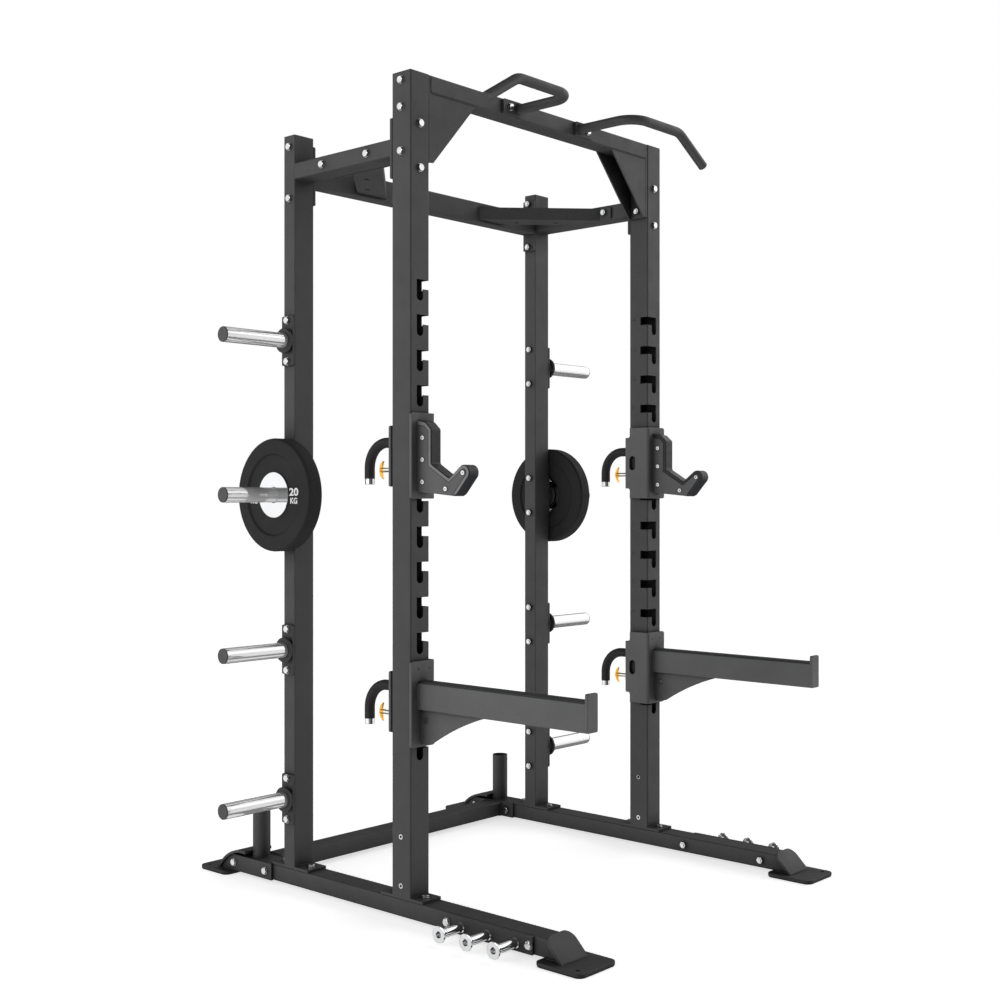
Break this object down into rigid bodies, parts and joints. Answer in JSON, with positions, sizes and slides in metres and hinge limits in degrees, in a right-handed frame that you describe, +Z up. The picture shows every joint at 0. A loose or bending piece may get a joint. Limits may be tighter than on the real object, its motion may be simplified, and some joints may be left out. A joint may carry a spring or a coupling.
{
  "type": "power cage",
  "caption": "Free-standing power cage with slotted front uprights, adjustable J-hooks and safety arms, pull-up handles, plate storage horns and bar holders.",
  "frame": {"origin": "floor, centre of the whole rack's box", "axes": "+Z up, -Y the side that the J-hooks and safety arms point to, X across the rack"},
  "size_m": [1.7, 1.565, 2.388],
  "materials": {
    "frame_paint": "charcoal powder coat, fine texture, satin",
    "carriage_paint": "charcoal powder coat, satin",
    "chrome": "polished chrome plate",
    "zinc_steel": "bright zinc plate",
    "pad_rubber": "matte black rubber",
    "plate_rubber": "moulded black rubber",
    "grip_rubber": "black grip sleeve",
    "cap_plastic": "moulded black plastic",
    "liner_plastic": "machined black plastic",
    "knob_gold": "gold-coloured metal wing knob"
  },
  "bodies": {
    "frame": {"base_rail_left": "frame_paint", "base_rail_right": "frame_paint", "front_foot_left": "frame_paint", "front_foot_right": "frame_paint", "rear_foot_left": "frame_paint", "rear_foot_right": "frame_paint", "foot_pads": "pad_rubber", "rear_crossmember": "frame_paint", "front_upright_left": "frame_paint", "front_upright_right": "frame_paint", "rear_upright_left": "frame_paint", "rear_upright_right": "frame_paint", "front_top_beam": "frame_paint", "rear_top_beam": "frame_paint", "side_top_beam_left": "frame_paint", "side_top_beam_right": "frame_paint", "corner_brace_left": "frame_paint", "corner_brace_right": "frame_paint", "pullup_handle_left": "frame_paint", "pullup_handle_right": "frame_paint", "tube_caps": "cap_plastic", "horn_caps": "cap_plastic", "weight_horns": "chrome", "horn_mounts": "frame_paint", "peg_plates": "frame_paint", "band_pegs": "chrome", "thread_inserts": "zinc_steel", "hex_bolts": "zinc_steel", "hex_nuts": "zinc_steel"},
    "plate_left": {"weight_plate_left": "plate_rubber", "plate_hub_left": "chrome"},
    "jhook_left": {"jhook_carriage_left": "carriage_paint", "jhook_liner_left": "liner_plastic", "jhook_grip_left": "grip_rubber", "jhook_fittings_left": "chrome"},
    "jhook_pop_pin_left": {"jhook_pin_left": "zinc_steel", "jhook_knob_left": "knob_gold"},
    "safety_left": {"safety_carriage_left": "carriage_paint", "safety_pad_left": "liner_plastic", "safety_grip_left": "grip_rubber", "safety_fittings_left": "chrome"},
    "safety_pop_pin_left": {"safety_pin_left": "zinc_steel", "safety_knob_left": "knob_gold"},
    "plate_right": {"weight_plate_right": "plate_rubber", "plate_hub_right": "chrome"},
    "jhook_right": {"jhook_carriage_right": "carriage_paint", "jhook_liner_right": "liner_plastic", "jhook_grip_right": "grip_rubber", "jhook_fittings_right": "chrome"},
    "jhook_pop_pin_right": {"jhook_pin_right": "zinc_steel", "jhook_knob_right": "knob_gold"},
    "safety_right": {"safety_carriage_right": "carriage_paint", "safety_pad_right": "liner_plastic", "safety_grip_right": "grip_rubber", "safety_fittings_right": "chrome"},
    "safety_pop_pin_right": {"safety_pin_right": "zinc_steel", "safety_knob_right": "knob_gold"}
  },
  "joints": [
    {"name": "plate_slide_left", "type": "slide", "parent": "frame", "child": "plate_left", "axis": [-1, 0, 0], "range_m": [0, 0.18]},
    {"name": "jhook_lift_left", "type": "slide", "parent": "frame", "child": "jhook_left", "axis": [0, 0, 1], "range_m": [0, 0.033]},
    {"name": "jhook_pin_pull_left", "type": "slide", "parent": "jhook_left", "child": "jhook_pop_pin_left", "axis": [0, 1, 0], "range_m": [0, 0.014], "stiffness_N_per_m": 900, "springref_m": -0.012},
    {"name": "safety_lift_left", "type": "slide", "parent": "frame", "child": "safety_left", "axis": [0, 0, 1], "range_m": [0, 0.033]},
    {"name": "safety_pin_pull_left", "type": "slide", "parent": "safety_left", "child": "safety_pop_pin_left", "axis": [0, 1, 0], "range_m": [0, 0.014], "stiffness_N_per_m": 900, "springref_m": -0.012},
    {"name": "plate_slide_right", "type": "slide", "parent": "frame", "child": "plate_right", "axis": [1, 0, 0], "range_m": [0, 0.18]},
    {"name": "jhook_lift_right", "type": "slide", "parent": "frame", "child": "jhook_right", "axis": [0, 0, 1], "range_m": [0, 0.033]},
    {"name": "jhook_pin_pull_right", "type": "slide", "parent": "jhook_right", "child": "jhook_pop_pin_right", "axis": [0, 1, 0], "range_m": [0, 0.014], "stiffness_N_per_m": 900, "springref_m": -0.012},
    {"name": "safety_lift_right", "type": "slide", "parent": "frame", "child": "safety_right", "axis": [0, 0, 1], "range_m": [0, 0.033]},
    {"name": "safety_pin_pull_right", "type": "slide", "parent": "safety_right", "child": "safety_pop_pin_right", "axis": [0, 1, 0], "range_m": [0, 0.014], "stiffness_N_per_m": 900, "springref_m": -0.012}
  ]
}
